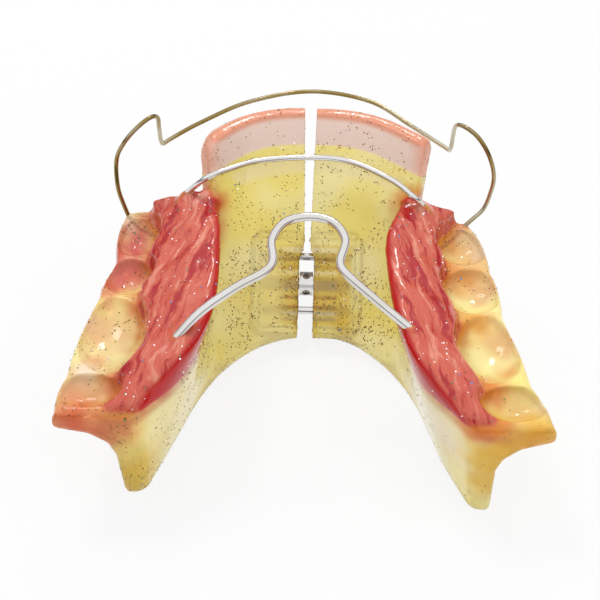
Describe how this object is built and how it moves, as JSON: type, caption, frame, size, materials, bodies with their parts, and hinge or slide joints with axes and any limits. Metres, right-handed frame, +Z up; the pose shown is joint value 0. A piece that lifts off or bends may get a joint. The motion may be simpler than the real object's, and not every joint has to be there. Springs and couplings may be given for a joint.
{
  "type": "bionator jaw appliance",
  "caption": "Horseshoe jaw appliance of clear acrylic halves parted by an expansion screw, with red palate pads, bite cups, and bent steel wires at the lips, behind the teeth and over the tongue.",
  "frame": {"origin": "middle of the footprint, in the plane that the lower rim stands on", "axes": "+X across the arch to the wearer's left in the picture's right half, +Y to the lips, +Z up to the palate"},
  "size_m": [0.0594, 0.0554, 0.0287],
  "materials": {
    "yellow_acrylic": "clear yellow, polished, with fine glitter",
    "red_acrylic": "red, polished and wrinkled",
    "pink_acrylic": "pink, polished",
    "screw_plastic": "clear moulded plastic",
    "stainless_steel": "bright drawn wire"
  },
  "bodies": {
    "left_half": {"left_plate": "yellow_acrylic", "left_pad": "red_acrylic", "left_band": "pink_acrylic", "left_housing": "screw_plastic", "labial_bow": "stainless_steel", "lingual_arch": "stainless_steel", "palatal_loop": "stainless_steel"},
    "right_half": {"right_plate": "yellow_acrylic", "right_pad": "red_acrylic", "right_band": "pink_acrylic", "right_housing": "screw_plastic"},
    "guide_pins": {"upper_pin": "stainless_steel", "lower_pin": "stainless_steel"},
    "driving_spindle": {"spindle": "stainless_steel"}
  },
  "joints": [
    {"name": "expansion", "type": "slide", "parent": "left_half", "child": "right_half", "axis": [1, 0, 0], "range_m": [0, 0.005], "deforming": ["labial_bow", "lingual_arch", "palatal_loop"]},
    {"name": "pins_float", "type": "slide", "parent": "left_half", "child": "guide_pins", "axis": [1, 0, 0], "range_m": [0, 0.0025]},
    {"name": "spindle_turn", "type": "hinge", "parent": "guide_pins", "child": "driving_spindle", "pos_m": [-0.0001, 0.0049, 0.00643], "axis": [1, 0, 0], "range_deg": [0, 2250]}
  ],
  "couplings": [
    {"joint": "pins_float", "follows": "expansion", "ratio": 0.5},
    {"joint": "spindle_turn", "follows": "expansion", "rad_per_m": 7854}
  ]
}
